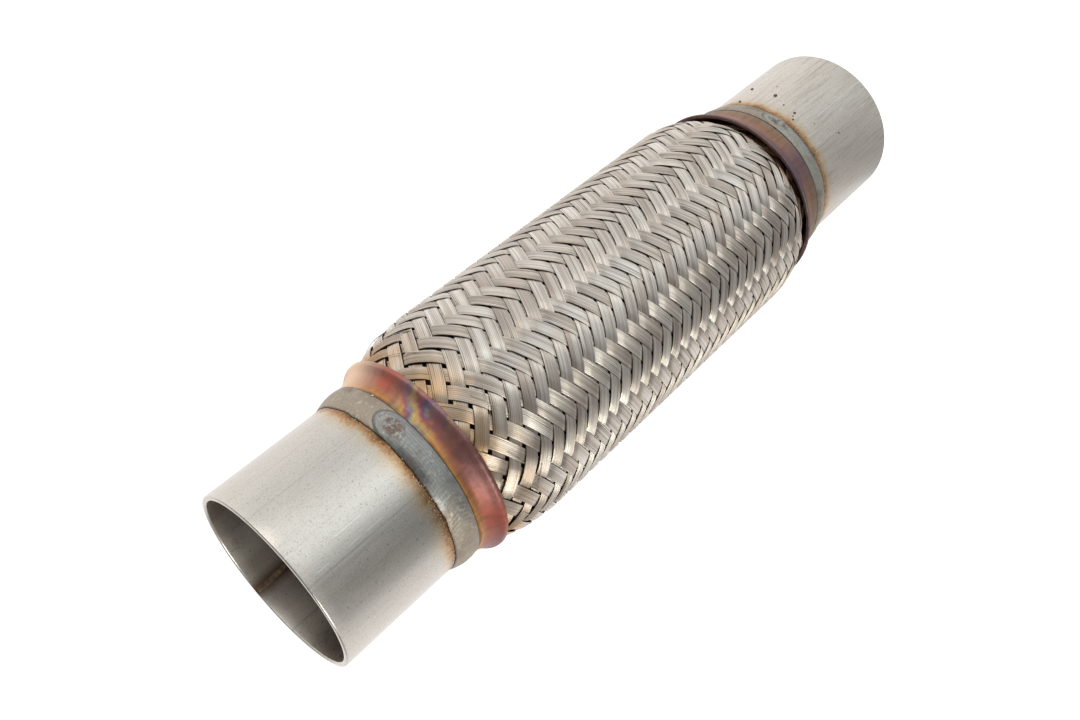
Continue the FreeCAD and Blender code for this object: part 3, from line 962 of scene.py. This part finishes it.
def band_section(base, lows, opened):
    """The section of a band, as (share of its width, height), and its painted shade: full at the band's
    edges and underside, less in the grooves between its wires and more where they split.

    Base is the height of its grooves over the braid's crest, lows are added to the heights of
    its wires, and opened is how far each has split from the one before.
    """
    section, groove_shades = [], []
    for wire in range(WIRES):
        section.append((wire / WIRES - 0.5, base - SPLIT_DEPTH * opened[wire]))
        for part in WIRE_EDGES:
            crest = base + (WIRE_HEIGHT + lows[wire]) * WIRE_CROWN
            section.append(((wire + part) / WIRES - 0.5, crest))
        groove_shades += [0.3 + 0.7 * opened[wire] if wire else 1.0, 0.0, 0.0]
    section += [(0.5, base), (0.5, base - BAND_UNDER), (-0.5, base - BAND_UNDER)]
    return section, groove_shades + [1.0, 1.0, 1.0]


def band_points(hand, number, rng):
    """One band, as its rings of points, the way across its wires at each ring and the painted shade of
    its grooves and edges.

    A right-hand helix has hand 1 and a left-hand one -1. Each ring lies along the bands that
    cross this one, so a float ends at their edges.
    """
    first, last = -BAND_OVERRUN, LAST_ROW + BAND_OVERRUN
    count = round((last - first) * SAMPLES)
    lows = [rng.uniform(*WIRE_LOW) * MM for wire in range(WIRES)]
    sway = [
        (rng.uniform(*SWAY_SIZE) * MM, rng.uniform(*SWAY_RATE), rng.uniform(0, TAU))
        for wave in range(3)
    ]
    splits = [
        (rng.randrange(1, WIRES), rng.uniform(first, last), rng.uniform(*SPLIT_REACH))
        for split in range(SPLITS)
    ]
    rings, ways, groove_shades = [], [], []
    for step in range(count + 1):
        row = first + (last - first) * step / count
        column = number + hand * row
        height = row_place(row)
        rise = row_place(row + 0.5) - row_place(row - 0.5)
        run = braid_crest(height) * COLUMN_ANGLE
        pitch = 2 * run * rise / math.hypot(rise, run)
        over = math.tanh(FLOAT_STEEPNESS * math.cos(TAU * (column - 0.5) / 4))
        over *= hand / math.tanh(FLOAT_STEEPNESS)
        drift = sum(size * math.sin(rate * row * TAU + phase) for size, rate, phase in sway)
        opened = [0.0] * WIRES
        for wire, centre, reach in splits:
            gape = max(0.0, 1 - ((row - centre) / reach) ** 2)
            opened[wire] = min(opened[wire] + gape, 1.0)
        base = BAND_RELIEF * over - BAND_RELIEF - WIRE_HEIGHT
        section, shades = band_section(base, lows, opened)
        groove_shades += shades
        out = Vector(polar(1.0, COLUMN_ANGLE * (column + 0.5), 0))
        band_way = out.cross(Vector((0, 0, -hand))) * run + Vector((0, 0, rise))
        ways.append(tuple(out.cross(band_way).normalized()))
        points = []
        for share, lift in section:
            offset = (share * BAND_WIDTH + drift) / pitch
            spot = row_place(row - hand * offset)
            radius = braid_crest(spot) + lift - EDGE_CURL * (2 * share) ** 4
            radius = min(radius, BRAID_LIMIT - BAND_CLEARANCE)
            points.append(polar(radius, COLUMN_ANGLE * (column + offset + 0.5), spot))
        rings.append(points)
    return rings, ways, groove_shades


def braid_piece(name, hand, numbers):
    """Some of the bands of one hand, each a rod of wires with its own tone."""
    points, faces, tones, crosswise, groove_shades = [], [], [], [], []
    for number in numbers:
        rng = random.Random("band %d %d" % (hand, number))
        rings, ways, shades = band_points(hand, number, rng)
        groove_shades += shades
        width = len(rings[0])
        faces += rod_faces(len(points), len(rings), width)
        band_tone = rng.uniform(*BAND_TONE)
        wire_tones = [band_tone + rng.uniform(*WIRE_TONE) for wire in range(WIRES)]
        wire_tones = [min(max(tone, 0.0), 1.0) for tone in wire_tones]
        for ring, way in zip(rings, ways):
            points += ring
            crosswise += way * width
            tones += [wire_tones[min(place // 3, WIRES - 1)] for place in range(width)]
    item = closed_object(name, points, faces, BRAID_STEEL)
    for word, kind, values in (
        ("tone", "FLOAT", tones), ("groove_shade", "FLOAT", groove_shades),
        ("across_wires", "FLOAT_VECTOR", crosswise),
    ):
        stored = item.data.attributes.new(word, kind, "POINT")
        stored.data.foreach_set("vector" if kind == "FLOAT_VECTOR" else "value", values)
    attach(item, "root")
    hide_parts("outer_braid")


def woven_sleeve():
    """All bands: two pieces for each hand, each half of the way round."""
    half_round = COLUMNS // 2
    for hand, word in ((1, "right"), (-1, "left")):
        for half in (0, 1):
            numbers = range(1 + half * half_round, 1 + (half + 1) * half_round, 2)
            braid_piece("braid_%s_%d" % (word, half + 1), hand, numbers)


STRAY_WIRES = 26
STRAY_STEPS = 14
STRAY_SIDES = 6
STRAY_THICKNESS = 0.13 * MM
# How deep a stray wire starts in its band, how much it bends and how much it tapers.
STRAY_SINK = 0.1 * MM
STRAY_BEND = 0.25
STRAY_TAPER = 0.5


def stray_wires():
    """Broken or sprung wires that lift off the braid near its ends and taper to a tip."""
    rng = random.Random("stray wires")
    points, faces = [], []
    for wire in range(STRAY_WIRES):
        hand = rng.choice((1, -1))
        turn = TAU * (wire + rng.random()) / STRAY_WIRES
        reach = rng.uniform(0.9, 2.2)
        at_rear = wire % 3 == 0
        first = rng.uniform(0.2, 1.2) if at_rear else LAST_ROW - rng.uniform(0.4, 4.0) - reach
        rise = rng.uniform(0.25, 0.7) * MM
        faces += rod_faces(len(points), STRAY_STEPS + 1, STRAY_SIDES)
        for step in range(STRAY_STEPS + 1):
            share = step / STRAY_STEPS
            height = row_place(first + reach * share)
            bend = share + STRAY_BEND * share * share
            angle = turn + hand * COLUMN_ANGLE * reach * bend
            radius = braid_crest(height) - STRAY_SINK + rise * math.sin(share * 2.4) ** 2
            radius = min(radius, BRAID_LIMIT - STRAY_THICKNESS)
            size = STRAY_THICKNESS * (1 - STRAY_TAPER * share)
            for side in range(STRAY_SIDES):
                around = TAU * side / STRAY_SIDES
                out, up = size * math.cos(around), size * math.sin(around)
                points.append(polar(radius + out, angle, height + up))
    steel = plain_steel("stray_wire", srgb(150, 138, 120), srgb(200, 190, 174))
    item = closed_object("stray_wires", points, faces, steel)
    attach(item, "root")


# Stage

def hide_from(item, *rays):
    for ray in rays:
        setattr(item, "visible_" + ray, False)


def flat_square(name, half, height):
    corners = [(-half, -half, height), (half, -half, height), (half, half, height), (-half, half, height)]
    item = mesh_object(name, corners, [(0, 1, 2, 3)])
    return item


def floor():
    item = flat_square("floor", 40.0, 0.0)
    pale = Material("pale_floor", "BsdfPrincipled", {
        "Base Color": (0.92, 0.92, 0.92, 1), "Roughness": 0.8, "Specular IOR Level": 0.0,
        "Emission Color": (1, 1, 1, 1), "Emission Strength": 0.75,
    })
    item.data.materials.append(pale.material)


BACKDROP_SIDES = 96
BACKDROP_RADIUS = 30.0
BACKDROP_HEIGHT = 14.0
BACKDROP_GLOW = 1.2


def backdrop():
    """A far white wall that only the camera sees."""
    points = []
    for height in (0.0, BACKDROP_HEIGHT):
        for step in range(BACKDROP_SIDES):
            points.append(polar(BACKDROP_RADIUS, TAU * step / BACKDROP_SIDES, height))
    item = mesh_object("backdrop", points, grid_faces(2, BACKDROP_SIDES, False, True))
    white = {"Color": (1, 1, 1, 1), "Strength": BACKDROP_GLOW}
    item.data.materials.append(Material("white_backdrop", "Emission", white).material)
    hide_from(item, "diffuse", "glossy", "shadow", "transmission")


# Brightness by turn in degrees, of the reflection card away from the pipe's foot and beside
# it, and of the studio's far sides.
LOW_CARDS = (
    (-180, 1.20), (-100, 1.08), (-50, 0.80), (-24, 1.10), (-8, 1.55), (6, 1.15), (20, 0.52),
    (36, 0.32), (54, 0.25), (70, 0.27), (86, 0.52), (100, 0.95), (130, 1.12), (180, 1.20),
)
NEAR_CARDS = (
    (-180, 1.20), (-100, 1.10), (-50, 1.02), (-20, 0.88), (0, 0.78), (20, 0.66), (40, 0.52),
    (55, 0.50), (75, 0.62), (95, 0.95), (180, 1.20),
)
FAR_SIDES = (
    (-180, 1.40), (-110, 1.40), (-60, 1.40), (-32, 1.15), (-5, 0.62), (20, 0.50), (42, 0.60),
    (60, 0.50), (80, 0.36), (100, 0.50), (125, 0.85), (150, 1.25), (180, 1.40),
)
BRIGHTEST = max(bright for degrees, bright in LOW_CARDS)
# Light from the camera's side is cooler: how much less red and more blue it has, and the turn
# in degrees where that ends.
LESS_RED = 0.10
MORE_BLUE = 0.06
COOL_REACH = 160
# The reflection card's size and height over the floor, and where its near part ends.
CARD_HALF = 2.2
CARD_HEIGHT = 0.3 * MM
NEAR_REACH = (0.08, 0.20)


def turning_light(nodes, vector, profile):
    """Brightness by the turn of a direction or a place."""
    across, deep = nodes.add("SeparateXYZ", {0: vector}).outputs[:2]
    share = nodes.scaled(nodes.turn_of(across, deep), 1 / TAU, 0.5)
    stops = []
    for degrees, bright in profile:
        level = bright / BRIGHTEST
        cool = max(0.0, 1 - abs(degrees) / COOL_REACH)
        colour = (level * (1 - LESS_RED * cool), level, level * (1 + MORE_BLUE * cool), 1)
        stops.append(((degrees + 180) / 360, colour))
    return nodes.colours(share, stops)


def reflector():
    """A card just over the floor that only reflections see, as a studio's cards and flags."""
    item = flat_square("reflector", CARD_HALF, CARD_HEIGHT)
    card = Material("reflector_card", "Emission", {"Strength": BRIGHTEST})
    place = card.add("TexCoord").outputs["Object"]
    far = turning_light(card, place, LOW_CARDS)
    near = turning_light(card, place, NEAR_CARDS)
    reach = card.add("VectorMath", {0: place}, operation="LENGTH").outputs["Value"]
    card.set("Color", card.mix(card.ramp(reach, *NEAR_REACH), near, far))
    item.data.materials.append(card.material)
    hide_from(item, "camera", "diffuse", "shadow", "transmission")


def studio_world():
    """Soft light all round, in the same bright and dark sides, and dimmer overhead."""
    world = bpy.data.worlds.new("studio")
    world.use_nodes = True
    bpy.context.scene.world = world
    nodes = Nodes(world.node_tree)
    background = world.node_tree.nodes["Background"]
    direction = nodes.add("TexCoord").outputs["Generated"]
    colour = turning_light(nodes, direction, FAR_SIDES)
    height = nodes.add("SeparateXYZ", {0: direction}).outputs["Z"]
    dim = nodes.ramp(height, 0.15, 0.58, 0.0, 0.9)
    nodes.feed(background.inputs["Color"], nodes.mix(dim, colour, (0.16, 0.16, 0.155, 1)))
    nodes.feed(background.inputs["Strength"], BRIGHTEST)


# The point that both lamps are aimed at, and their distance from it.
LAMP_AIM = (0, 0, 0.13)
LAMP_DISTANCE = 0.8


def softbox(name, turn, rise, size, brightness, colour):
    """A soft lamp at a turn and a rise in degrees, with its size as width and height."""
    turn, rise = math.radians(turn), math.radians(rise)
    way = Vector((-math.sin(turn) * math.cos(rise), -math.cos(turn) * math.cos(rise), math.sin(rise)))
    data = bpy.data.lights.new(name, "AREA")
    data.shape = "RECTANGLE"
    data.size, data.size_y = size
    data.energy = brightness * math.pi * size[0] * size[1]
    data.color = colour
    lamp = new_object(name, data)
    lamp.location = Vector(LAMP_AIM) + LAMP_DISTANCE * way
    lamp.rotation_euler = (-way).to_track_quat("-Z", "Y").to_euler()
    lamp.visible_camera = False


# The photo's camera, worked out from the ellipses of the nipples.
CAMERA_PLACE = (-0.0003, -0.2579, 0.2974)
CAMERA_RIGHT = (-0.6441, -0.3754, -0.6665)
CAMERA_UP = (0.7649, -0.3161, -0.5612)
CAMERA_BACK = (0.0, -0.8713, 0.4908)
# Focal length and sensor in mm, and the nearest distance that the camera draws.
FOCAL_LENGTH = 33.73
SENSOR_WIDTH = 36.0
NEAREST = 0.005


def camera():
    data = bpy.data.cameras.new("camera")
    data.lens = FOCAL_LENGTH
    data.sensor_width = SENSOR_WIDTH
    data.clip_start = NEAREST
    eye = new_object("camera", data)
    turn = Matrix((CAMERA_RIGHT, CAMERA_UP, CAMERA_BACK)).transposed().to_4x4()
    eye.matrix_world = Matrix.Translation(CAMERA_PLACE) @ turn
    bpy.context.scene.camera = eye


BRAID_STEEL = braid_steel()
SEAM_STEEL = seam_steel()
PALE_SPATTER = plain_steel("pale_spatter", srgb(170, 164, 154), srgb(222, 218, 210))
DARK_SPATTER = plain_steel("dark_spatter", srgb(78, 58, 44), srgb(146, 116, 90))
for side in ENDS:
    tube_seam(side)
    fine_spatter(side)
    nipple(side)
    end_cap(side)
    weld_bead(side)
seen_drops()
woven_sleeve()
stray_wires()
# The bellows' dark colour is partly painted shade: it darkens what shows through the braid's gaps, where
# the bellows lie in shade.
for node, ring_height, colour in (
    ("bellows", 9.0 * MM, srgb(84, 78, 72)),
    ("inner_liner", 4.0 * MM, srgb(140, 128, 112)),
):
    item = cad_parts[node]
    item.material_slots[0].material = inner_steel(node + "_sheet", ring_height, colour)
floor()
backdrop()
reflector()
studio_world()
softbox("front_box", 64, 31, (0.38, 0.34), 6.4, (0.95, 1.0, 0.96))
softbox("side_box", -38, 14, (0.40, 0.36), 1.2, (1.0, 0.97, 0.93))
camera()
bpy.context.scene.view_settings.view_transform = "Standard"
